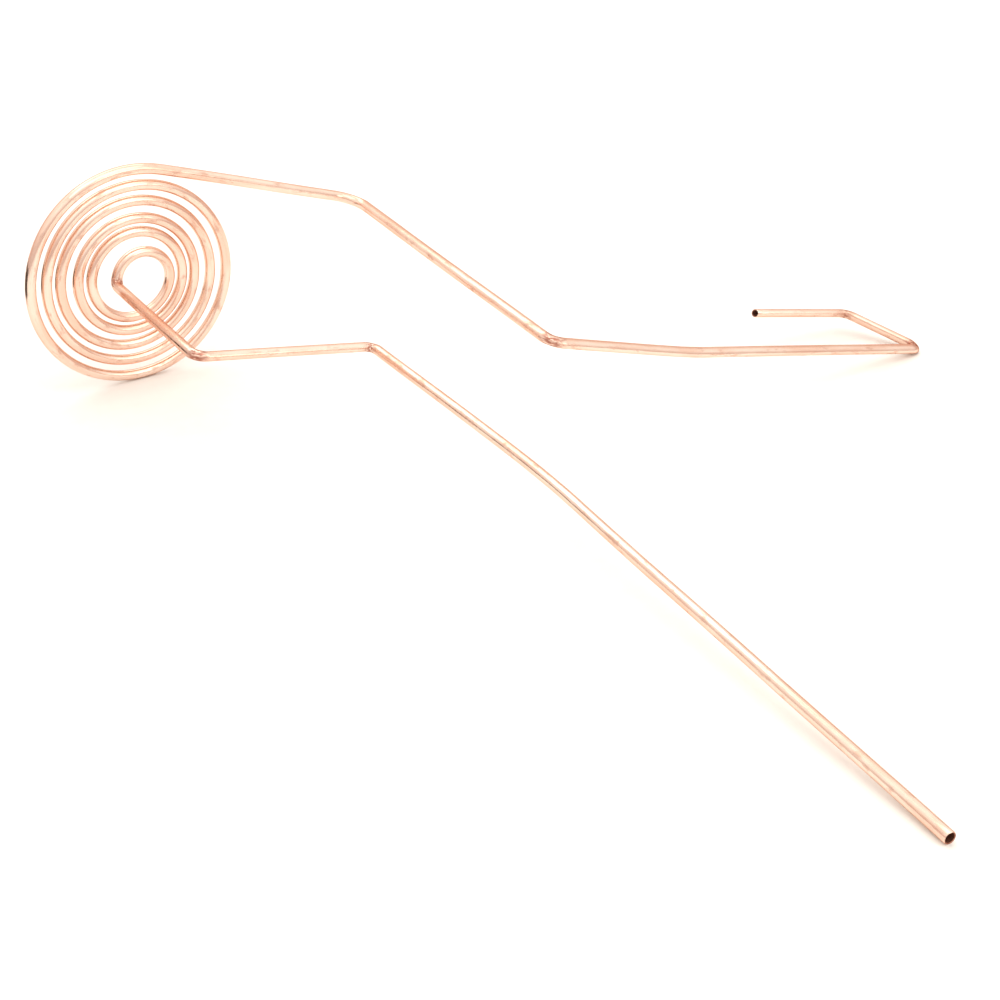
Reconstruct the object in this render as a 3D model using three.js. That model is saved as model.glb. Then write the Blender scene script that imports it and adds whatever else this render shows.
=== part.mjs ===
// Immersion wort chiller: one length of soft copper tube, wound into a flat spiral coil with two legs.
// Units are millimetres. The route is first laid out in the coil's own frame: the coil lies in the
// XY plane, its axis is +Z, and both legs leave on the +Z side. The finished tube is then laid down
// on the three points that it rests on, with +Z up.
//
// The tube is one piece of metal. It is modelled as its straights, its bends and the turns of its
// coil, which meet end to end.

import * as THREE from 'three';

// ---- Tube -------------------------------------------------------------------------------------

const TUBE_DIAMETER = 9.525; // 3/8 inch outside diameter
const TUBE_WALL = 0.81; // 0.032 inch
const TUBE_SIDES = 10;
const STEP_ANGLE = 15; // degrees of bend between two sections
const LEAST_STEPS = 4; // sections in a bend, however slight it is
const JOINT_GAP = 0.3; // clear gap between neighbouring stretches
const MOUTH_LENGTH = 25; // the last stretch before each open end

// ---- Coil -------------------------------------------------------------------------------------

// The coil is a row of half turns from its centre outwards, each one wider than the one before.
const HALF_TURN_RADII = [26.4, 38.8, 45.1, 51.7, 58, 66.4, 74.6, 81.2, 89.5, 97];
const LAST_RADIUS = 104.2; // the last part of a turn, which leads out to the rim leg
const LAST_ANGLE = 90;
const COIL_FOOT = { x: -15.7, y: -8.9 }; // corner where the centre leg comes down into the coil
const COIL_START_HEADING = 86.2; // direction of the tube as it starts to turn, in degrees
const FOOT_BEND = 9; // radius of the bend at that corner

// ---- Legs -------------------------------------------------------------------------------------

// A leg is a row of straights, each given from corner to corner. heading is the straight's direction
// in the coil's plane, lift is its angle out of that plane, and bend is the radius at its far corner.
const RIM_LEG = [
  { name: 'rim_run', length: 213, heading: -4.2, lift: 0, bend: 23, bendName: 'rim_elbow' },
  { name: 'rim_riser', length: 388, heading: -152, lift: 84.7, bend: 13, bendName: 'arm_elbow' },
  { name: 'hook_arm_inner', length: 154, heading: -2.4, lift: 1.7, bend: 600, bendName: 'hook_arm_sway' },
  { name: 'hook_arm_outer', length: 290, heading: 1.3, lift: 0.9, bend: 10, bendName: 'hook_elbow' },
  { name: 'hook_drop', length: 86, heading: 162.2, lift: -71.7, bend: 14, bendName: 'tail_elbow' },
  { name: 'hook_tail', length: 104.5, heading: -175.2, lift: -11 },
];

const CENTRE_LEG = [
  { name: 'centre_riser', length: 180.5, heading: -108, lift: 87.6, bend: 12, bendName: 'crossover_elbow' },
  { name: 'crossover', length: 177.5, heading: 3.4, lift: -0.4, bend: 10, bendName: 'long_leg_elbow' },
  { name: 'long_leg_lower', length: 281, heading: -96, lift: 87.3, bend: 1200, bendName: 'long_leg_sway' },
  { name: 'long_leg_upper', length: 489, heading: -147, lift: 83.9 },
];

// ---- Colour -----------------------------------------------------------------------------------

const COPPER = { color: 0xd99a72, roughness: 0.25, metalness: 1 };

const radians = THREE.MathUtils.degToRad;
const AXIS = new THREE.Vector3(0, 0, 1);
const HALF_TURN = 180;

// ---- Pieces of the route: a straight, and an arc ----------------------------------------------

// Each piece has its length and a function that gives the point at a distance along it.

function straight(start, end) {
  const direction = end.clone().sub(start).normalize();
  return {
    length: start.distanceTo(end),
    at: (distance) => start.clone().addScaledVector(direction, distance),
  };
}

// An arc leaves start along direction and turns by angle about axis, which is square to direction.
function arc(start, direction, axis, angle, radius) {
  const toCentre = axis.clone().cross(direction).setLength(radius);
  const centre = start.clone().add(toCentre);
  const spoke = toCentre.clone().negate();
  return {
    length: radius * angle,
    at: (distance) => spoke.clone().applyAxisAngle(axis, distance / radius).add(centre),
  };
}

function directionOf({ heading, lift }) {
  const across = Math.cos(radians(lift));
  return new THREE.Vector3(
    across * Math.cos(radians(heading)),
    across * Math.sin(radians(heading)),
    Math.sin(radians(lift)),
  );
}

// The rounded corner where a tube that runs along before turns to run along after.
function elbow(corner, before, after, radius) {
  const angle = before.angleTo(after);
  const setback = radius * Math.tan(angle / 2);
  const axis = before.clone().cross(after).normalize();
  const start = corner.clone().addScaledVector(before, -setback);
  const piece = arc(start, before, axis, angle, radius);
  return { setback, piece, angle: THREE.MathUtils.radToDeg(angle) };
}

// ---- The route as named stretches -------------------------------------------------------------

// A stretch is a name, the pieces it runs through, and the angle it turns through in degrees.

// The coil turns clockwise as seen from the legs. Every two half turns make one stretch.
function coilStretches(begin) {
  const turning = AXIS.clone().negate();
  const direction = directionOf({ heading: COIL_START_HEADING, lift: 0 });
  let start = begin;
  const nextArc = (radius, angle) => {
    const piece = arc(start, direction, turning, radians(angle), radius);
    start = piece.at(piece.length);
    direction.applyAxisAngle(turning, radians(angle));
    return piece;
  };
  const halves = HALF_TURN_RADII.map((radius) => nextArc(radius, HALF_TURN));
  const stretches = [];
  for (let i = 0; i < halves.length; i += 2) {
    const name = `coil_turn_${stretches.length + 1}`;
    stretches.push({ name, pieces: halves.slice(i, i + 2), angle: 2 * HALF_TURN });
  }
  const leadOut = nextArc(LAST_RADIUS, LAST_ANGLE);
  stretches.push({ name: 'coil_lead_out', pieces: [leadOut], angle: LAST_ANGLE });
  return { stretches, end: start };
}

// A leg walks from start through its straights. Its first straight is shortened by firstSetback,
// where a bend made elsewhere takes its place, and its last one ends in a separate mouth.
function legStretches(leg, start, firstSetback, mouthName) {
  const stretches = [];
  let corner = start.clone();
  let setback = firstSetback;
  leg.forEach((part, i) => {
    const direction = directionOf(part);
    const next = corner.clone().addScaledVector(direction, part.length);
    const from = corner.clone().addScaledVector(direction, setback);
    if (i < leg.length - 1) {
      const turn = elbow(next, direction, directionOf(leg[i + 1]), part.bend);
      const to = next.clone().addScaledVector(direction, -turn.setback);
      stretches.push({ name: part.name, pieces: [straight(from, to)], angle: 0 });
      stretches.push({ name: part.bendName, pieces: [turn.piece], angle: turn.angle });
      setback = turn.setback;
    } else {
      const mouth = next.clone().addScaledVector(direction, -MOUTH_LENGTH);
      stretches.push({ name: part.name, pieces: [straight(from, mouth)], angle: 0 });
      stretches.push({ name: mouthName, pieces: [straight(mouth, next)], angle: 0 });
    }
    corner = next;
  });
  return stretches;
}

function wholeRoute() {
  const corner = new THREE.Vector3(COIL_FOOT.x, COIL_FOOT.y, 0);
  const down = directionOf(CENTRE_LEG[0]).negate();
  const coilStart = directionOf({ heading: COIL_START_HEADING, lift: 0 });
  const foot = elbow(corner, down, coilStart, FOOT_BEND);
  const coil = coilStretches(corner.clone().addScaledVector(coilStart, foot.setback));
  return [
    ...legStretches(CENTRE_LEG, corner, foot.setback, 'long_leg_mouth').reverse(),
    { name: 'coil_foot_elbow', pieces: [foot.piece], angle: foot.angle },
    ...coil.stretches,
    ...legStretches(RIM_LEG, coil.end, 0, 'hook_mouth'),
  ];
}

// ---- Tube along a stretch ---------------------------------------------------------------------

class StretchCurve extends THREE.Curve {
  constructor(pieces) {
    super();
    this.pieces = pieces;
    this.total = pieces.reduce((sum, piece) => sum + piece.length, 0);
  }

  getPoint(t, target = new THREE.Vector3()) {
    let distance = JOINT_GAP / 2 + t * (this.total - JOINT_GAP);
    const last = this.pieces.length - 1;
    let i = 0;
    while (i < last && distance > this.pieces[i].length) {
      distance -= this.pieces[i].length;
      i += 1;
    }
    return target.copy(this.pieces[i].at(distance));
  }
}

function tubeSection() {
  const section = new THREE.Shape();
  section.absarc(0, 0, TUBE_DIAMETER / 2, 0, Math.PI * 2);
  const bore = new THREE.Path();
  bore.absarc(0, 0, TUBE_DIAMETER / 2 - TUBE_WALL, 0, Math.PI * 2, true);
  section.holes.push(bore);
  return section;
}

// A straight takes one step, and a bend takes more the further it turns.
function stepsFor(angle) {
  return angle === 0 ? 1 : Math.max(LEAST_STEPS, Math.ceil(angle / STEP_ANGLE));
}

function tubeMesh({ name, pieces, angle }) {
  const geometry = new THREE.ExtrudeGeometry(tubeSection(), {
    extrudePath: new StretchCurve(pieces),
    steps: stepsFor(angle),
    curveSegments: TUBE_SIDES / 2,
  });
  const mesh = new THREE.Mesh(geometry, new THREE.MeshStandardMaterial(COPPER));
  mesh.name = name;
  return mesh;
}

// ---- Laying the chiller down ------------------------------------------------------------------

const TOUCHING = 0.01; // a point this near the resting plane counts as on it

// The points of the tube's centre line that decide how it lies.
function centreLine(stretches) {
  return stretches.flatMap(({ pieces, angle }) => new StretchCurve(pieces).getPoints(stepsFor(angle)));
}

// The chiller lies with its coil on edge, on the long leg's mouth, the hook's elbow and the rim of
// its coil. The resting plane goes through one point of each, with all of the tube on one side.
function restingNormal(stretches) {
  const pointsOf = (...names) => centreLine(stretches.filter((one) => names.includes(one.name)));
  const mouth = pointsOf('long_leg_mouth').at(-1);
  const all = centreLine(stretches);
  for (const elbowPoint of pointsOf('hook_elbow')) {
    for (const rimPoint of pointsOf('coil_turn_5')) {
      const normal = elbowPoint.clone().sub(mouth).cross(rimPoint.clone().sub(mouth)).normalize();
      if (normal.y < 0) normal.negate();
      const heights = all.map((point) => point.clone().sub(mouth).dot(normal));
      if (heights.every((height) => height > -TOUCHING)) return normal;
    }
  }
  throw new Error('the tube has no resting plane');
}

function buildChiller() {
  const stretches = wholeRoute();
  const lying = new THREE.Group();
  stretches.forEach((stretch) => lying.add(tubeMesh(stretch)));

  // +Z is up, and +X runs along the upper half of the long leg, towards its mouth.
  const up = restingNormal(stretches);
  const along = directionOf(CENTRE_LEG.at(-1)).projectOnPlane(up).normalize();
  const side = up.clone().cross(along);
  const lyingToCoil = new THREE.Matrix4().makeBasis(along, side, up);
  lying.quaternion.setFromRotationMatrix(lyingToCoil).invert();

  // The origin is the middle of the space the chiller takes up, at the surface it lies on.
  const box = new THREE.Box3().setFromObject(lying, true);
  const middle = box.getCenter(new THREE.Vector3());
  lying.position.set(-middle.x, -middle.y, -box.min.z);
  lying.updateMatrixWorld(true);

  const chiller = new THREE.Group();
  chiller.add(lying);
  return chiller;
}

const chiller = buildChiller();

export default chiller;
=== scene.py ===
"""Immersion wort chiller: one length of bright copper tube.

It is wound into a flat coil and bent by hand into two legs.
"""
import math

import bmesh
import bpy
from bpy.props import FloatProperty, FloatVectorProperty, IntProperty, PointerProperty
from mathutils import Matrix, Vector


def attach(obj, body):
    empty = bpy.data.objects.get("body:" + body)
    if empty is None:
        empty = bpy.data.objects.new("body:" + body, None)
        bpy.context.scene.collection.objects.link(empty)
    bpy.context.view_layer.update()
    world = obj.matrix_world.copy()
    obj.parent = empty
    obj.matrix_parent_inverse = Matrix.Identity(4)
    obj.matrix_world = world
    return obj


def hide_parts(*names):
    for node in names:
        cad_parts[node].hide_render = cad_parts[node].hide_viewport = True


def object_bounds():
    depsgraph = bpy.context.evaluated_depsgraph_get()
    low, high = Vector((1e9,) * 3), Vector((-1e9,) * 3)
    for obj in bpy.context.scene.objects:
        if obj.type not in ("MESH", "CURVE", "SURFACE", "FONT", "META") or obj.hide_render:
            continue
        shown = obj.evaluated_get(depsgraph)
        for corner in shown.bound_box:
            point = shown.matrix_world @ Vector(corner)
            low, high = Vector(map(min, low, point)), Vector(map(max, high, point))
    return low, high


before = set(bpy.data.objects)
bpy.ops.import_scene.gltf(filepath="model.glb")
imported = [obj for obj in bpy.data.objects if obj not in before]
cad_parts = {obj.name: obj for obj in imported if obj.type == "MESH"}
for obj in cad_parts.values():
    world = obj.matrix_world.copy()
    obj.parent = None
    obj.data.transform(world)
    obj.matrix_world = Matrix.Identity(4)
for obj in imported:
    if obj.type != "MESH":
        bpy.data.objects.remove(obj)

bl_info = {
    "name": "Immersion Wort Chiller",
    "version": (1, 0, 0),
    "blender": (4, 5, 0),
    "location": "View3D > Sidebar > Chiller",
    "description": "Bends a copper tube into an immersion wort chiller and sets it in a studio",
    "category": "Add Mesh",
}

CAD_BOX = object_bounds()
AXIS = Vector((0.0, 0.0, 1.0))
TUBE_SPACE = "tube_space"  # where a point was on the straight tube, before it was bent
WORKED = "worked"  # how hard the metal was bent there, from 0 to 1


# ---- Sizes and colours ------------------------------------------------------------------------


def length_setting(name, description, default):
    return FloatProperty(
        name=name, description=description, default=default, unit="LENGTH", precision=5
    )


def angle_setting(name, description, degrees):
    return FloatProperty(
        name=name, description=description, default=math.radians(degrees), subtype="ANGLE"
    )


class ChillerTube(bpy.types.PropertyGroup):
    """The copper tube and the marks that bending by hand leaves in it"""

    diameter: length_setting("Diameter", "Outside diameter of the 3/8 inch tube", 0.009525)
    wall: length_setting("Wall", "Thickness of the tube's wall", 0.00081)
    sides: IntProperty(name="Sides", description="Faces around the tube", default=28, min=12)
    run_step: length_setting("Run step", "Distance between sections of a straight", 0.012)
    turn_step: angle_setting("Turn step", "Angle between sections of a turn", 4)
    cutter_roll: length_setting(
        "Cutter roll", "How far the tube cutter turns the ends inwards", 0.0004
    )
    ovality: FloatProperty(
        name="Ovality",
        description="Share of its depth that the tube loses in a tight bend",
        default=0.16,
        subtype="FACTOR",
    )
    crease: length_setting("Crease", "Depth of the wrinkle inside a tight bend", 0.0009)
    wander: length_setting(
        "Wander", "How far the straights stray after being straightened by hand", 0.0011
    )
    dents: length_setting("Dents", "Depth of the shallow handling dents", 0.00016)


class ChillerCoil(bpy.types.PropertyGroup):
    """The flat coil, wound from its centre outwards in half turns"""

    radii: FloatVectorProperty(
        name="Half turns",
        description="Radius of each half turn, from the centre outwards",
        size=10,
        default=(0.0264, 0.0388, 0.0451, 0.0517, 0.058, 0.0664, 0.0746, 0.0812, 0.0895, 0.097),
        unit="LENGTH",
    )
    last_radius: length_setting("Last radius", "Radius of the quarter turn that leads out", 0.1042)
    foot: FloatVectorProperty(
        name="Foot",
        description="Corner where the centre leg comes down into the coil, from the coil's middle",
        size=2,
        default=(-0.0157, -0.0089),
        unit="LENGTH",
    )
    foot_bend: length_setting("Foot bend", "Radius of the bend at that corner", 0.009)
    start_heading: angle_setting(
        "Start heading", "Direction in which the tube starts to turn", 86.2
    )


def angles(*degrees):
    return tuple(math.radians(angle) for angle in degrees)


class ChillerLegs(bpy.types.PropertyGroup):
    """The straights of both legs, from the coil outwards, each measured from corner to corner"""

    rim_lengths: FloatVectorProperty(
        name="Rim leg",
        description="Run, riser, both halves of the arm, drop and tail",
        size=6,
        default=(0.213, 0.388, 0.154, 0.29, 0.086, 0.1045),
        unit="LENGTH",
    )
    rim_headings: FloatVectorProperty(
        name="Rim headings",
        description="Direction of each straight in the coil's plane",
        size=6,
        default=angles(-4.2, -152, -2.4, 1.3, 162.2, -175.2),
        subtype="NONE",
    )
    rim_lifts: FloatVectorProperty(
        name="Rim lifts",
        description="Angle of each straight out of the coil's plane",
        size=6,
        default=angles(0, 84.7, 1.7, 0.9, -71.7, -11),
        subtype="NONE",
    )
    rim_bends: FloatVectorProperty(
        name="Rim bends",
        description="Radius of the bend at the end of each straight",
        size=5,
        default=(0.023, 0.013, 0.6, 0.01, 0.014),
        unit="LENGTH",
    )
    centre_lengths: FloatVectorProperty(
        name="Centre leg",
        description="Riser, crossover and both halves of the long leg",
        size=4,
        default=(0.1805, 0.1775, 0.281, 0.489),
        unit="LENGTH",
    )
    centre_headings: FloatVectorProperty(
        name="Centre headings",
        description="Direction of each straight in the coil's plane",
        size=4,
        default=angles(-108, 3.4, -96, -147),
        subtype="NONE",
    )
    centre_lifts: FloatVectorProperty(
        name="Centre lifts",
        description="Angle of each straight out of the coil's plane",
        size=4,
        default=angles(87.6, -0.4, 87.3, 83.9),
        subtype="NONE",
    )
    centre_bends: FloatVectorProperty(
        name="Centre bends",
        description="Radius of the bend at the end of each straight",
        size=3,
        default=(0.012, 0.01, 1.2),
        unit="LENGTH",
    )


def linear(code):
    """A colour written as sRGB hex, as the linear colour that a shader takes."""
    shares = [int(code[i:i + 2], 16) / 255 for i in (1, 3, 5)]
    colour = [s / 12.92 if s <= 0.04045 else ((s + 0.055) / 1.055) ** 2.4 for s in shares]
    return (*colour, 1.0)


def colour_setting(name, description, code):
    return FloatVectorProperty(
        name=name,
        description=description,
        size=4,
        default=linear(code),
        subtype="COLOR",
        min=0.0,
        max=1.0,
    )


class ChillerFinish(bpy.types.PropertyGroup):
    """Colours of bright drawn copper, and the painted shade inside its tight bends"""

    bright: colour_setting("Bright copper", "Fresh drawn copper where it is cleanest", "#F7E0D1")
    warm: colour_setting("Warm copper", "Copper with the first breath of oxide", "#F0CCB9")
    # Painted shade inside the tight bends; the bore's plug scores use the same dark colour.
    bend_shade_and_score: colour_setting(
        "Stressed copper", "Darker copper where a tight bend has strained it", "#9A4E3C"
    )
    tarnish: colour_setting("Tarnish", "Thin brown film left by fingers", "#D8AD99")
    edge: colour_setting("Edge", "Tint of copper seen at a slant, through its oxide", "#F1CEBE")
    bore: colour_setting("Bore", "Dull brown metal inside the tube", "#B98F78")


class ChillerStudio(bpy.types.PropertyGroup):
    """The camera and the light"""

    aim: FloatVectorProperty(
        name="Aim",
        description="Point that the camera looks at",
        size=3,
        default=(0.0099, -0.1438, 0.0364),
        unit="LENGTH",
    )
    distance: length_setting("Distance", "From that point to the camera", 1.4)
    azimuth: angle_setting("Azimuth", "Camera's angle round the object", 62.65)
    elevation: angle_setting("Elevation", "Camera's height angle", 27.18)
    roll: angle_setting("Roll", "Camera's turn about its line of sight", -1.39)
    lens: FloatProperty(
        name="Lens",
        description="Focal length on a 36 mm sensor",
        default=64.8,
        subtype="DISTANCE_CAMERA",
    )
    floor_colour: colour_setting("Floor", "Pale studio paper", "#FAF9F7")
    felt_dark: colour_setting("Felt, dark", "Darker fibres of the grey card", "#3A3432")
    felt_pale: colour_setting("Felt, pale", "Paler fibres of the grey card", "#4E4642")
    tent_low: colour_setting("Tent, low", "The tent's sides near the floor", "#F6DFD5")
    tent_high: colour_setting("Tent, high", "The tent overhead and behind", "#FFFDF6")
    tent_dim: FloatProperty(
        name="Tent, dim", description="Strength of the light from the low sides", default=0.87
    )
    tent_bright: FloatProperty(
        name="Tent, bright", description="Strength of the light from overhead", default=1.28
    )


# ---- The route of the tube --------------------------------------------------------------------


SHORTEST_RUN = 1e-6  # metres; a shorter straight between two bends is left out
RESTING_STEP = math.radians(15)  # the CAD part's angle between points of a turn
RESTING_TOLERANCE = 1e-5  # metres; a point this near the resting plane counts as on it


class Run:
    """A straight length of tube."""

    def __init__(self, start, end):
        self.start, self.end = start, end
        self.length = (end - start).length
        self.direction = (end - start).normalized()

    def points(self, step):
        """Its two ends, whatever the angle between the points of a turn."""
        return [self.start, self.end]

    def placed(self, place):
        return Run(place @ self.start, place @ self.end)


class Turn:
    """A length of tube bent to a radius: it turns by angle about an axis through centre."""

    def __init__(self, start, centre, axis, angle):
        self.start, self.centre, self.axis, self.angle = start, centre, axis, angle
        self.radius = (start - centre).length
        self.length = self.radius * angle
        self.end = self.at(angle)

    def at(self, angle):
        return self.centre + Matrix.Rotation(angle, 3, self.axis) @ (self.start - self.centre)

    def points(self, step):
        count = max(1, math.ceil(self.angle / step))
        return [self.at(self.angle * i / count) for i in range(count + 1)]

    def placed(self, place):
        return Turn(place @ self.start, place @ self.centre, place.to_3x3() @ self.axis, self.angle)


def heading_vector(heading, lift):
    across = math.cos(lift)
    return Vector((across * math.cos(heading), across * math.sin(heading), math.sin(lift)))


def leg_corners(start, lengths, headings, lifts):
    corners = [start]
    for length, heading, lift in zip(lengths, headings, lifts):
        corners.append(corners[-1] + heading_vector(heading, lift) * length)
    return corners


def bend_setback(before, after, radius):
    """How far from its corner a bend starts."""
    return radius * math.tan(before.angle(after) / 2)


def round_corners(corners, radii):
    """Runs through the corners, with a turn of its own radius at each corner between."""
    route, start = [], corners[0]
    for i, radius in enumerate(radii):
        before = (corners[i + 1] - corners[i]).normalized()
        after = (corners[i + 2] - corners[i + 1]).normalized()
        bend_start = corners[i + 1] - before * bend_setback(before, after, radius)
        axis = before.cross(after).normalized()
        turn = Turn(bend_start, bend_start + axis.cross(before) * radius, axis, before.angle(after))
        route += [Run(start, bend_start), turn]
        start = turn.end
    route.append(Run(start, corners[-1]))
    return [piece for piece in route if piece.length > SHORTEST_RUN]


def coil_turns(coil, start):
    """The half turns from the centre outwards, and the quarter turn that leads out."""
    turns, heading = [], coil.start_heading
    sweeps = [(radius, math.pi) for radius in coil.radii] + [(coil.last_radius, math.pi / 2)]
    for radius, angle in sweeps:
        centre = start - AXIS.cross(heading_vector(heading, 0)) * radius
        turns.append(Turn(start, centre, -AXIS, angle))
        start = turns[-1].end
        heading -= angle
    return turns


def resting_place(long_leg, last_turns, hook_elbow, route):
    """The turn that lays it on its long leg's mouth, its hook's elbow and its coil's rim."""
    mouth = long_leg.start
    points = [point for piece in route for point in piece.points(RESTING_STEP)]
    for elbow in hook_elbow.points(RESTING_STEP):
        for rim in (point for turn in last_turns for point in turn.points(RESTING_STEP)):
            up = (elbow - mouth).cross(rim - mouth).normalized()
            up = -up if up.y < 0 else up
            if all((point - mouth).dot(up) > -RESTING_TOLERANCE for point in points):
                along = (up * long_leg.direction.dot(up) - long_leg.direction).normalized()
                return Matrix((along, up.cross(along), up))
    raise RuntimeError("the tube has no resting plane")


def chiller_route(coil, legs):
    """Every run and turn from the long leg's mouth to the hook's mouth, laid down as it rests."""
    foot = Vector((*coil.foot, 0.0))
    down = -heading_vector(legs.centre_headings[0], legs.centre_lifts[0])
    first = heading_vector(coil.start_heading, 0)
    coil_start = foot + first * bend_setback(down, first, coil.foot_bend)
    centre = leg_corners(foot, legs.centre_lengths, legs.centre_headings, legs.centre_lifts)
    bends = [coil.foot_bend, *legs.centre_bends]
    centre_leg = round_corners([*reversed(centre), coil_start], list(reversed(bends)))
    turns = coil_turns(coil, coil_start)
    rim = leg_corners(turns[-1].end, legs.rim_lengths, legs.rim_headings, legs.rim_lifts)
    rim_leg = round_corners(rim, list(legs.rim_bends))
    route = centre_leg + turns + rim_leg
    *_, hook_elbow, _drop, _tail_elbow, _tail = rim_leg
    *_, last_half, widest_half, _lead_out = turns
    lay = resting_place(centre_leg[0], [last_half, widest_half], hook_elbow, route).to_4x4()
    return [piece.placed(lay) for piece in route]


# ---- Bending the tube -------------------------------------------------------------------------


LEAST_SECTIONS = 3  # in a bend, however slight it is
WIDENING = 0.55  # how much a flattened bend widens, as a share of the depth that it loses
TIGHT_RADIUS = 2.0  # a bend below this many diameters flattens the tube

# The marks inside a tight bend: how far round it each lies, as a share of the bend, how deep it is
# as a share of the crease setting, where less than nothing is a rise, and how far it spreads.
CREASES = ((0.5, 1.0, 0.0035), (0.27, -0.35, 0.0025), (0.73, -0.35, 0.0025))

SWAY_SIZE = 0.16  # metres from one side of a straight's wander to the other
DENT_SIZE = 0.022  # metres across a handling dent
CUT_EDGE = 0.14  # width of a cut edge's break, as a share of the wall
SHARP = math.radians(50)  # an edge that turns more than this is broken
SMOOTH_BELOW = math.radians(45)  # faces that meet at less than this are shaded as one


def deselect_all():
    for thing in bpy.context.selected_objects:
        thing.select_set(False)


def in_axes(rows):
    """How the transform operators take a set of axes."""
    return {"orient_type": "GLOBAL", "orient_matrix": rows, "orient_matrix_type": "GLOBAL"}


def start_tube(route, tube):
    """A ring of the tube's size at the long leg's mouth, in edit mode."""
    deselect_all()
    direction = route[0].direction
    bpy.ops.mesh.primitive_circle_add(
        vertices=tube.sides,
        radius=tube.diameter / 2 - tube.cutter_roll,
        location=route[0].start,
        rotation=direction.to_track_quat("Z", "Y").to_euler(),
    )
    bpy.ops.object.transform_apply(location=True, rotation=True, scale=True)
    bpy.ops.object.mode_set(mode="EDIT")
    bpy.ops.mesh.select_all(action="SELECT")


def draw_on(move):
    """Draws the open end of the tube on by a short straight move."""
    bpy.ops.mesh.extrude_edges_indiv()
    bpy.ops.transform.translate(value=move)


def scale_end(centre, factor):
    bpy.ops.transform.resize(value=(factor, factor, factor), center_override=centre)


def draw_run(run, tube, opens=False, closes=False):
    """Draws the tube straight on. At a mouth its edge is rolled inwards, as a cutter leaves it."""
    full = tube.diameter / 2
    rolled = full - tube.cutter_roll
    roll_length = 2 * tube.cutter_roll
    at = run.start
    if opens:
        draw_on(run.direction * roll_length)
        at = at + run.direction * roll_length
        scale_end(at, full / rolled)
    length = (run.end - at).length - (roll_length if closes else 0.0)
    count = max(1, round(length / tube.run_step))
    for _ in range(count):
        draw_on(run.direction * (length / count))
    if closes:
        draw_on(run.direction * roll_length)
        scale_end(run.end, rolled / full)


def spin_on(turn, steps, angle):
    """Spins the open end of the tube on. The operator turns the other way round its axis."""
    bpy.ops.mesh.spin(steps=steps, angle=angle, center=turn.centre, axis=-turn.axis)


def draw_turn(turn, tube, ovality):
    """Spins the open end round the bend. A tight bend flattens the tube, most at its middle."""
    by_angle = math.ceil(turn.angle / tube.turn_step)
    by_length = math.ceil(turn.length / tube.run_step)
    count = max(LEAST_SECTIONS, by_angle, by_length)
    if not ovality:
        spin_on(turn, count, turn.angle)
        return
    depth, width = 1.0, 1.0
    for i in range(1, count + 1):
        spin_on(turn, 1, turn.angle / count)
        now = turn.at(turn.angle * i / count)
        inward = (turn.centre - now).normalized()
        rows = Matrix((inward, turn.axis, inward.cross(turn.axis)))
        strain = math.sin(math.pi * i / count) ** 2
        new_depth, new_width = 1 - ovality * strain, 1 + WIDENING * ovality * strain
        change = (new_depth / depth, new_width / width, 1.0)
        bpy.ops.transform.resize(value=change, center_override=now, **in_axes(rows))
        depth, width = new_depth, new_width


def tight(piece, tube):
    """Whether a piece of the route is a bend tight enough to flatten the tube."""
    return isinstance(piece, Turn) and piece.radius < TIGHT_RADIUS * tube.diameter


def bend_route(route, tube):
    for piece in route:
        if isinstance(piece, Turn):
            draw_turn(piece, tube, tube.ovality if tight(piece, tube) else 0.0)
        else:
            draw_run(piece, tube, opens=piece is route[0], closes=piece is route[-1])


def tube_rings(bm, sides):
    """The tube's rings of vertices in order, each starting from the same side of the tube."""
    bm.verts.ensure_lookup_table()
    ring = [bm.verts[i] for i in range(sides)]
    used, rings = set(ring), [ring]
    while True:
        following = []
        for vert in rings[-1]:
            neighbours = (edge.other_vert(vert) for edge in vert.link_edges)
            following += [neighbour for neighbour in neighbours if neighbour not in used]
        if len(following) != sides:
            return rings
        used.update(following)
        rings.append(following)


def press_creases(route, tube):
    """Presses the wrinkle that forms inside each tight bend, with a small rise on either side."""
    bm = bmesh.from_edit_mesh(bpy.context.object.data)
    for turn in (piece for piece in route if tight(piece, tube)):
        for share, depth, reach in CREASES:
            middle = turn.at(turn.angle * share)
            inward = (turn.centre - middle).normalized()
            aim = middle + inward * tube.diameter / 2
            bpy.ops.mesh.select_all(action="DESELECT")
            bm.verts.ensure_lookup_table()
            nearest = min(bm.verts, key=lambda vert: (vert.co - aim).length)
            nearest.select = True
            bpy.ops.transform.translate(
                value=-inward * depth * tube.crease,
                use_proportional_edit=True,
                use_proportional_connected=True,
                proportional_edit_falloff="SMOOTH",
                proportional_size=reach,
            )


def record_tube_space(piece, route, tube):
    """Stores where each point was on the straight tube, and how hard the metal was worked there."""
    bm = bmesh.new()
    bm.from_mesh(piece.data)
    space = bm.verts.layers.float_vector.new(TUBE_SPACE)
    worked = bm.verts.layers.float.new(WORKED)
    rings = tube_rings(bm, tube.sides)
    if len(rings) * tube.sides != len(bm.verts):
        raise RuntimeError(f"the tube has {len(rings)} rings for {len(bm.verts)} vertices")
    bends = [(piece.at(piece.angle / 2), piece.length) for piece in route if tight(piece, tube)]
    along, before = 0.0, None
    for ring in rings:
        middle = sum((vert.co for vert in ring), Vector()) / len(ring)
        along += (middle - before).length if before else 0.0
        before = middle
        for i, vert in enumerate(ring):
            angle = 2 * math.pi * i / len(ring)
            spoke = Vector((math.cos(angle), math.sin(angle), 0))
            vert[space] = spoke * tube.diameter / 2 + AXIS * along
            nearness = [1 - (vert.co - at).length / length for at, length in bends]
            vert[worked] = max(0.0, *nearness)
    bm.to_mesh(piece.data)
    bm.free()


def apply_modifier(piece, kind, name, **settings):
    modifier = piece.modifiers.new(name, kind)
    for key, value in settings.items():
        setattr(modifier, key, value)
    bpy.ops.object.modifier_apply(modifier=modifier.name)


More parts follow.
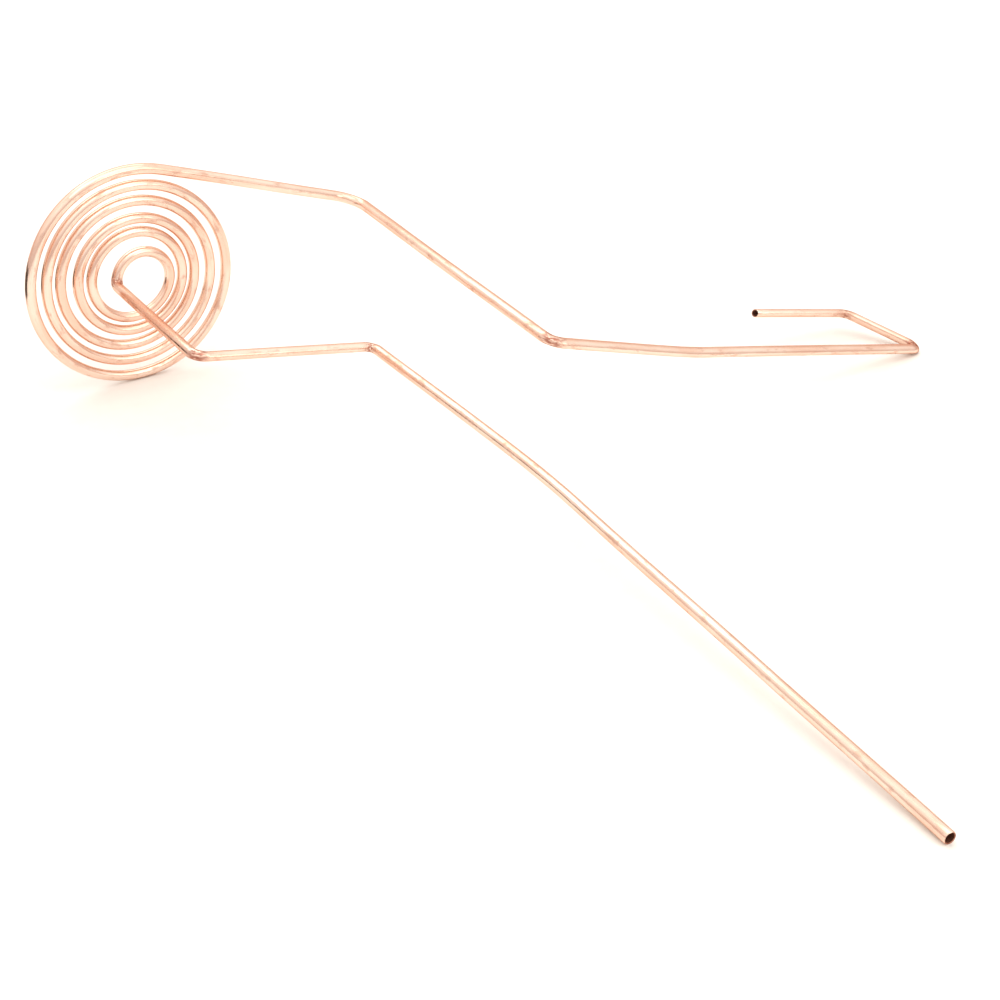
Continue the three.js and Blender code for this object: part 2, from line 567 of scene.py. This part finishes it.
def handle_tube(piece, tube):
    """Leaves the slight wander and the shallow dents of tube that was uncoiled and bent by hand."""
    sway = bpy.data.textures.new("hand_straightening", "CLOUDS")
    sway.noise_scale, sway.noise_depth, sway.cloud_type = SWAY_SIZE, 0, "COLOR"
    apply_modifier(
        piece,
        "DISPLACE",
        "wander",
        texture=sway,
        texture_coords="LOCAL",
        direction="RGB_TO_XYZ",
        strength=tube.wander,
        mid_level=0.5,
    )
    knocks = bpy.data.textures.new("handling_dents", "CLOUDS")
    knocks.noise_scale, knocks.noise_depth = DENT_SIZE, 1
    apply_modifier(
        piece,
        "DISPLACE",
        "dents",
        texture=knocks,
        texture_coords="LOCAL",
        direction="NORMAL",
        strength=tube.dents,
        mid_level=0.5,
    )


def give_wall(piece, tube):
    """Turns the skin into a wall with a dull bore, and breaks the edges of the cut ends."""
    apply_modifier(
        piece,
        "SOLIDIFY",
        "wall",
        thickness=tube.wall,
        offset=-1.0,
        use_rim=True,
        material_offset=1,
        material_offset_rim=1,
    )
    apply_modifier(
        piece,
        "BEVEL",
        "cut_edges",
        width=CUT_EDGE * tube.wall,
        segments=2,
        limit_method="ANGLE",
        angle_limit=SHARP,
    )
    bpy.ops.object.shade_smooth_by_angle(angle=SMOOTH_BELOW)


def settle(piece):
    """Sets the chiller down on the floor, in the middle of the CAD part's space."""
    low = Vector([min(values) for values in zip(*piece.bound_box)])
    high = Vector([max(values) for values in zip(*piece.bound_box)])
    cad_low, cad_high = Vector(CAD_BOX[0]), Vector(CAD_BOX[1])
    piece.location = (cad_low + cad_high) / 2 - (low + high) / 2
    piece.location.z = cad_low.z - low.z
    bpy.ops.object.transform_apply(location=True, rotation=False, scale=False)


class CHILLER_OT_bend_tube(bpy.types.Operator):
    """Draw, coil and bend the copper tube as one piece, from one open end to the other"""

    bl_idname = "chiller.bend_tube"
    bl_label = "Bend the Tube"

    def execute(self, context):
        scene = context.scene
        tube = scene.chiller_tube
        route = chiller_route(scene.chiller_coil, scene.chiller_legs)
        start_tube(route, tube)
        bend_route(route, tube)
        bpy.ops.mesh.select_all(action="SELECT")
        bpy.ops.mesh.normals_make_consistent(inside=False)
        bpy.ops.object.mode_set(mode="OBJECT")
        piece = context.object
        piece.name = piece.data.name = "copper_tube"
        record_tube_space(piece, route, tube)
        bpy.ops.object.mode_set(mode="EDIT")
        press_creases(route, tube)
        bpy.ops.object.mode_set(mode="OBJECT")
        handle_tube(piece, tube)
        piece.data.materials.append(drawn_copper(scene.chiller_finish))
        piece.data.materials.append(dull_bore(scene.chiller_finish))
        give_wall(piece, tube)
        settle(piece)
        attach(piece, "root")
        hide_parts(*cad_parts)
        return {"FINISHED"}


# ---- The copper -------------------------------------------------------------------------------


def add_node(tree, kind, inputs=(), output=0, **settings):
    """Adds a node and gives one of its outputs. An input is a value, or an output to link from."""
    node = tree.nodes.new(kind)
    for name, value in settings.items():
        setattr(node, name, value)
    for name, value in dict(inputs).items():
        if isinstance(value, bpy.types.NodeSocket):
            tree.links.new(value, node.inputs[name])
        else:
            node.inputs[name].default_value = value
    return node.outputs[output]


MIX_FACTOR, MIX_A, MIX_B = 0, 6, 7  # a colour Mix node's own sockets
COLOUR_MIX = {"output": 2, "data_type": "RGBA"}
SMOOTH = {"interpolation_type": "SMOOTHSTEP"}


def new_material(name):
    """A material with its node tree and its shader."""
    material = bpy.data.materials.new(name)
    material.use_nodes = True
    return material, material.node_tree, material.node_tree.nodes["Principled BSDF"]


def grain(tree, space, across, along, detail):
    """Noise on the straight tube, with a grain of this size in metres across and along it."""
    scale = (1 / across, 1 / across, 1 / along)
    at = add_node(tree, "ShaderNodeMapping", {"Vector": space, "Scale": scale})
    noise = {"Vector": at, "Scale": 1.0, "Detail": detail, "Roughness": 0.55}
    return add_node(tree, "ShaderNodeTexNoise", noise)


def drawn_copper(finish):
    """Soft copper tube, drawn bright and bent by hand.

    Its pale salmon shine is streaked along the tube by the drawing die, clouded by a first film of
    oxide, crazed at the tight bends, and painted darker there as shade inside those bends.
    """
    material, tree, shader = new_material("bright_drawn_soft_copper")
    space = add_node(tree, "ShaderNodeAttribute", output="Vector", attribute_name=TUBE_SPACE)
    worked = add_node(tree, "ShaderNodeAttribute", output="Fac", attribute_name=WORKED)

    # Oxide comes in clouds about 60 mm long that reach half way round the tube, over bright metal.
    clouds = grain(tree, space, 0.008, 0.06, 3.0)
    reach = {"Value": clouds, "From Min": 0.34, "From Max": 0.66}
    oxide = add_node(tree, "ShaderNodeMapRange", reach, **SMOOTH)

    # The die's draw lines are about 0.05 mm apart. They are drawn 0.6 mm apart, so that they show.
    lines = grain(tree, space, 0.0006, 0.09, 2.0)
    reach = {"Value": lines, "From Min": 0.5, "From Max": 0.75, "To Max": 0.35}
    streaks = add_node(tree, "ShaderNodeMapRange", reach, **SMOOTH)

    # Fingers leave brown films about 15 mm across, mostly where the tube was gripped to bend it.
    prints = grain(tree, space, 0.005, 0.015, 4.0)
    grip = {0: worked, 1: 0.12, 2: prints}
    gripped = add_node(tree, "ShaderNodeMath", grip, operation="MULTIPLY_ADD")
    reach = {"Value": gripped, "From Min": 0.54, "From Max": 0.7, "To Max": 0.7}
    film = add_node(tree, "ShaderNodeMapRange", reach, **SMOOTH)

    # A tight bend crazes the metal in blotches of about 2 mm; the same blotches are painted darker,
    # as painted shade inside the bend.
    blotches = grain(tree, space, 0.002, 0.004, 3.0)
    reach = {"Value": blotches, "From Min": 0.38, "From Max": 0.56}
    broken = add_node(tree, "ShaderNodeMapRange", reach, **SMOOTH)
    # Nearness to a tight bend: where the crazing lies and where its painted shade goes.
    reach = {"Value": worked, "From Min": 0.3, "From Max": 0.8}
    strained = add_node(tree, "ShaderNodeMapRange", reach, **SMOOTH)
    crazing_and_bend_shade = add_node(tree, "ShaderNodeMath", {0: broken, 1: strained}, operation="MULTIPLY")
    # The crazed blotches near a bend, painted darker as painted shade inside the bend.
    painted_bend_shade = add_node(tree, "ShaderNodeMath", {0: crazing_and_bend_shade, 1: 0.85}, operation="MULTIPLY")

    # Over the bright copper: oxide clouds, draw lines, finger films, and last the painted bend
    # shade.
    colour = tuple(finish.bright)
    for share, over in (
        (oxide, finish.warm),
        (streaks, finish.warm),
        (film, finish.tarnish),
        (painted_bend_shade, finish.bend_shade_and_score),
    ):
        layer = {MIX_FACTOR: share, MIX_A: colour, MIX_B: tuple(over)}
        colour = add_node(tree, "ShaderNodeMix", layer, **COLOUR_MIX)

    # Clean metal is the smoothest; the film and the strained metal scatter more.
    reach = {"Value": lines, "From Min": 0.3, "From Max": 0.7, "To Min": 0.14, "To Max": 0.24}
    rough = add_node(tree, "ShaderNodeMapRange", reach, **SMOOTH)
    for mark, scatter in ((film, 0.25), (crazing_and_bend_shade, 0.2)):
        share = {0: mark, 1: scatter, 2: rough}
        rough = add_node(tree, "ShaderNodeMath", share, operation="MULTIPLY_ADD")

    # The draw lines stand up by hundredths of a millimetre, the metal's peel and its crazed
    # blotches by tenths. The peel is a soft unevenness, 4 mm across and 18 mm long.
    peel = grain(tree, space, 0.004, 0.018, 2.0)
    relief = {"Height": lines, "Strength": 0.25, "Distance": 0.00006}
    surface = add_node(tree, "ShaderNodeBump", relief)
    for height, strength, distance in ((peel, 0.6, 0.0004), (crazing_and_bend_shade, 0.5, 0.00015)):
        relief = {"Height": height, "Strength": strength, "Distance": distance, "Normal": surface}
        surface = add_node(tree, "ShaderNodeBump", relief)

    # Seen at a slant, the oxide film keeps the metal's colour, so its outline stays salmon.
    shader.inputs["Specular Tint"].default_value = finish.edge
    shader.inputs["Metallic"].default_value = 1.0
    tree.links.new(colour, shader.inputs["Base Color"])
    tree.links.new(rough, shader.inputs["Roughness"])
    tree.links.new(surface, shader.inputs["Normal"])
    return material


def dull_bore(finish):
    """The inside of the tube as the drawing plug leaves it.

    It is duller than the outside, scored along its length, and brown from the drawing oil.
    """
    material, tree, shader = new_material("dull_drawn_bore")
    space = add_node(tree, "ShaderNodeAttribute", output="Vector", attribute_name=TUBE_SPACE)
    # Plug scores are about 0.4 mm apart and 60 mm long.
    spacing = {"Vector": space, "Scale": (1 / 0.0004, 1 / 0.0004, 1 / 0.06)}
    at = add_node(tree, "ShaderNodeMapping", spacing)
    scores = add_node(tree, "ShaderNodeTexNoise", {"Vector": at, "Scale": 1.0, "Detail": 2.0})
    shades = {MIX_FACTOR: scores, MIX_A: tuple(finish.bore), MIX_B: tuple(finish.bend_shade_and_score)}
    shade = add_node(tree, "ShaderNodeMix", shades, **COLOUR_MIX)
    tree.links.new(shade, shader.inputs["Base Color"])
    shader.inputs["Metallic"].default_value = 0.7
    shader.inputs["Roughness"].default_value = 0.55
    return material


# ---- The studio -------------------------------------------------------------------------------


def studio_paper(colour):
    """Matt studio paper: it gives a soft white with the faintest mottle of its fibres."""
    material, tree, shader = new_material("matt_studio_paper")
    at = add_node(tree, "ShaderNodeTexCoord", output="Object")
    # Paper fibres clump about 20 mm across.
    clumps = {"Vector": at, "Scale": 1 / 0.02, "Detail": 3.0}
    mottle = add_node(tree, "ShaderNodeTexNoise", clumps)
    reach = {"Value": mottle, "From Min": 0.3, "From Max": 0.7, "To Min": 0.97, "To Max": 1.0}
    share = add_node(tree, "ShaderNodeMapRange", reach)
    shades = {MIX_FACTOR: 1.0, MIX_A: tuple(colour), MIX_B: share}
    shade = add_node(tree, "ShaderNodeMix", shades, blend_type="MULTIPLY", **COLOUR_MIX)
    tree.links.new(shade, shader.inputs["Base Color"])
    shader.inputs["Roughness"].default_value = 0.45
    shader.inputs["Specular IOR Level"].default_value = 0.35
    return material


def grey_felt(studio):
    """Matt dark grey felt, with the faint unevenness of its fibres."""
    material, tree, shader = new_material("grey_felt")
    at = add_node(tree, "ShaderNodeTexCoord", output="Object")
    # Tufts of felt are about 3 mm across.
    tufts = {"Vector": at, "Scale": 1 / 0.003, "Detail": 2.0}
    fibres = add_node(tree, "ShaderNodeTexNoise", tufts)
    shades = {
        MIX_FACTOR: fibres, MIX_A: tuple(studio.felt_dark), MIX_B: tuple(studio.felt_pale)
    }
    shade = add_node(tree, "ShaderNodeMix", shades, **COLOUR_MIX)
    tree.links.new(shade, shader.inputs["Base Color"])
    shader.inputs["Roughness"].default_value = 0.95
    return material


def lay_floor(colour):
    """A wide round sheet of paper under the chiller."""
    deselect_all()
    bpy.ops.mesh.primitive_circle_add(vertices=96, radius=4.0, fill_type="NGON", location=(0, 0, 0))
    floor = bpy.context.object
    floor.name = floor.data.name = "studio_floor"
    floor.data.materials.append(studio_paper(colour))


# Each soft box: its name, its place, its width and height, its power in watts and its colour.
SOFT_BOXES = (
    ("overhead_soft_box", (0.3, -0.1, 2.2), (2.0, 1.6), 9.0, "#FFFBEF"),
    ("rear_soft_box", (-2.3, 0.0, 2.45), (2.6, 1.4), 12.0, "#FFFBEF"),
    ("camera_side_soft_box", (1.6, 0.9, 1.2), (1.4, 1.2), 6.0, "#FFF8EA"),
)
LIGHTS_AIM = (0.0, 0.0, 0.05)


def hang_light(name, place, size, power, tone):
    """A rectangular soft box that looks at the middle of the chiller."""
    bpy.ops.object.light_add(type="AREA", location=place)
    light = bpy.context.object
    light.name = light.data.name = name
    light.data.shape = "RECTANGLE"
    light.data.size, light.data.size_y = size
    light.data.energy = power
    light.data.color = linear(tone)[:3]
    look = Vector(LIGHTS_AIM) - Vector(place)
    light.rotation_euler = look.to_track_quat("-Z", "Y").to_euler()


FLAG_PLACE = (-0.54, -0.53, 0.09)
FLAG_AIM = (-0.45, -0.36, 0.06)  # the left edge of the coil
FLAG_SIZE = (0.22, 0.1)


def stand_flag(studio):
    """A small dark card to the left of the coil, which only mirrors see.

    Bright metal shows its shape by what is dark in it.
    """
    deselect_all()
    look = Vector(FLAG_AIM) - Vector(FLAG_PLACE)
    turn = look.to_track_quat("Z", "Y").to_euler()
    bpy.ops.mesh.primitive_plane_add(size=1.0, location=FLAG_PLACE, rotation=turn)
    bpy.ops.transform.resize(value=(*FLAG_SIZE, 1.0), orient_type="LOCAL")
    flag = bpy.context.object
    flag.name = flag.data.name = "grey_flag"
    flag.data.materials.append(grey_felt(studio))
    flag.visible_camera = flag.visible_diffuse = flag.visible_shadow = False


def surround(world, studio):
    """A white tent overhead and behind, whose sides are warmer and dimmer towards the floor.

    The camera itself sees plain white all round.
    """
    world.use_nodes = True
    tree = world.node_tree
    background = tree.nodes["Background"]
    toward = add_node(tree, "ShaderNodeTexCoord", output="Generated")

    # How far each direction looks up, and how far it looks to the back.
    lit = []
    for axis, low, high, share in (((0, 0, 1), 0.1, 0.75, 1.0), ((-1, 0, 0), 0.5, 0.8, 0.45)):
        look = {0: toward, 1: axis}
        along = add_node(tree, "ShaderNodeVectorMath", look, "Value", operation="DOT_PRODUCT")
        reach = {"Value": along, "From Min": low, "From Max": high, "To Max": share}
        lit.append(add_node(tree, "ShaderNodeMapRange", reach, **SMOOTH))
    white = add_node(tree, "ShaderNodeMath", {0: lit[0], 1: lit[1]}, operation="MAXIMUM")
    seen = add_node(tree, "ShaderNodeLightPath", output="Is Camera Ray")
    white = add_node(tree, "ShaderNodeMath", {0: white, 1: seen}, operation="MAXIMUM")

    tones = {MIX_FACTOR: white, MIX_A: tuple(studio.tent_low), MIX_B: tuple(studio.tent_high)}
    tone = add_node(tree, "ShaderNodeMix", tones, **COLOUR_MIX)
    reach = {"Value": white, "To Min": studio.tent_dim, "To Max": studio.tent_bright}
    strength = add_node(tree, "ShaderNodeMapRange", reach)
    tree.links.new(tone, background.inputs["Color"])
    tree.links.new(strength, background.inputs["Strength"])


def place_camera(studio):
    """The camera looks at its aim from its azimuth and elevation."""
    round_it = Matrix.Rotation(studio.azimuth, 4, "Z")
    down_to_it = Matrix.Rotation(math.pi / 2 - studio.elevation, 4, "X")
    turn = round_it @ down_to_it @ Matrix.Rotation(studio.roll, 4, "Z")
    back = Matrix.Translation((0, 0, studio.distance))
    data = bpy.data.cameras.new("studio_camera")
    data.lens = studio.lens
    camera = bpy.data.objects.new("studio_camera", data)
    bpy.context.scene.collection.objects.link(camera)
    camera.matrix_world = Matrix.Translation(Vector(studio.aim)) @ turn @ back
    bpy.context.scene.camera = camera


class CHILLER_OT_set_stage(bpy.types.Operator):
    """Lay a pale floor, hang soft lights and set up the camera"""

    bl_idname = "chiller.set_stage"
    bl_label = "Set the Stage"

    def execute(self, context):
        studio = context.scene.chiller_studio
        lay_floor(studio.floor_colour)
        for box in SOFT_BOXES:
            hang_light(*box)
        stand_flag(studio)
        context.scene.world = bpy.data.worlds.new("white_studio")
        surround(context.scene.world, studio)
        place_camera(studio)
        context.scene.view_settings.view_transform = "Standard"
        return {"FINISHED"}


# ---- The add-on -------------------------------------------------------------------------------


class CHILLER_PT_sidebar(bpy.types.Panel):
    """The steps that make the chiller, with their sizes and colours"""

    bl_idname = "CHILLER_PT_sidebar"
    bl_label = "Immersion Wort Chiller"
    bl_space_type = "VIEW_3D"
    bl_region_type = "UI"
    bl_category = "Chiller"

    def draw(self, context):
        layout = self.layout
        scene = context.scene
        tube_groups = (
            scene.chiller_tube, scene.chiller_coil, scene.chiller_legs, scene.chiller_finish
        )
        for step, groups in (
            (CHILLER_OT_bend_tube, tube_groups),
            (CHILLER_OT_set_stage, (scene.chiller_studio,)),
        ):
            layout.operator(step.bl_idname)
            for group in groups:
                box = layout.box()
                for name in group.bl_rna.properties.keys():
                    if name not in ("rna_type", "name"):
                        box.prop(group, name)


SETTINGS = {
    "chiller_tube": ChillerTube,
    "chiller_coil": ChillerCoil,
    "chiller_legs": ChillerLegs,
    "chiller_finish": ChillerFinish,
    "chiller_studio": ChillerStudio,
}
CLASSES = (*SETTINGS.values(), CHILLER_OT_bend_tube, CHILLER_OT_set_stage, CHILLER_PT_sidebar)


def register():
    for cls in CLASSES:
        bpy.utils.register_class(cls)
    for name, group in SETTINGS.items():
        setattr(bpy.types.Scene, name, PointerProperty(type=group))


def unregister():
    for name in SETTINGS:
        delattr(bpy.types.Scene, name)
    for cls in reversed(CLASSES):
        bpy.utils.unregister_class(cls)


def main():
    register()
    bpy.ops.chiller.set_stage()
    bpy.ops.chiller.bend_tube()


if __name__ == "__main__":
    main()
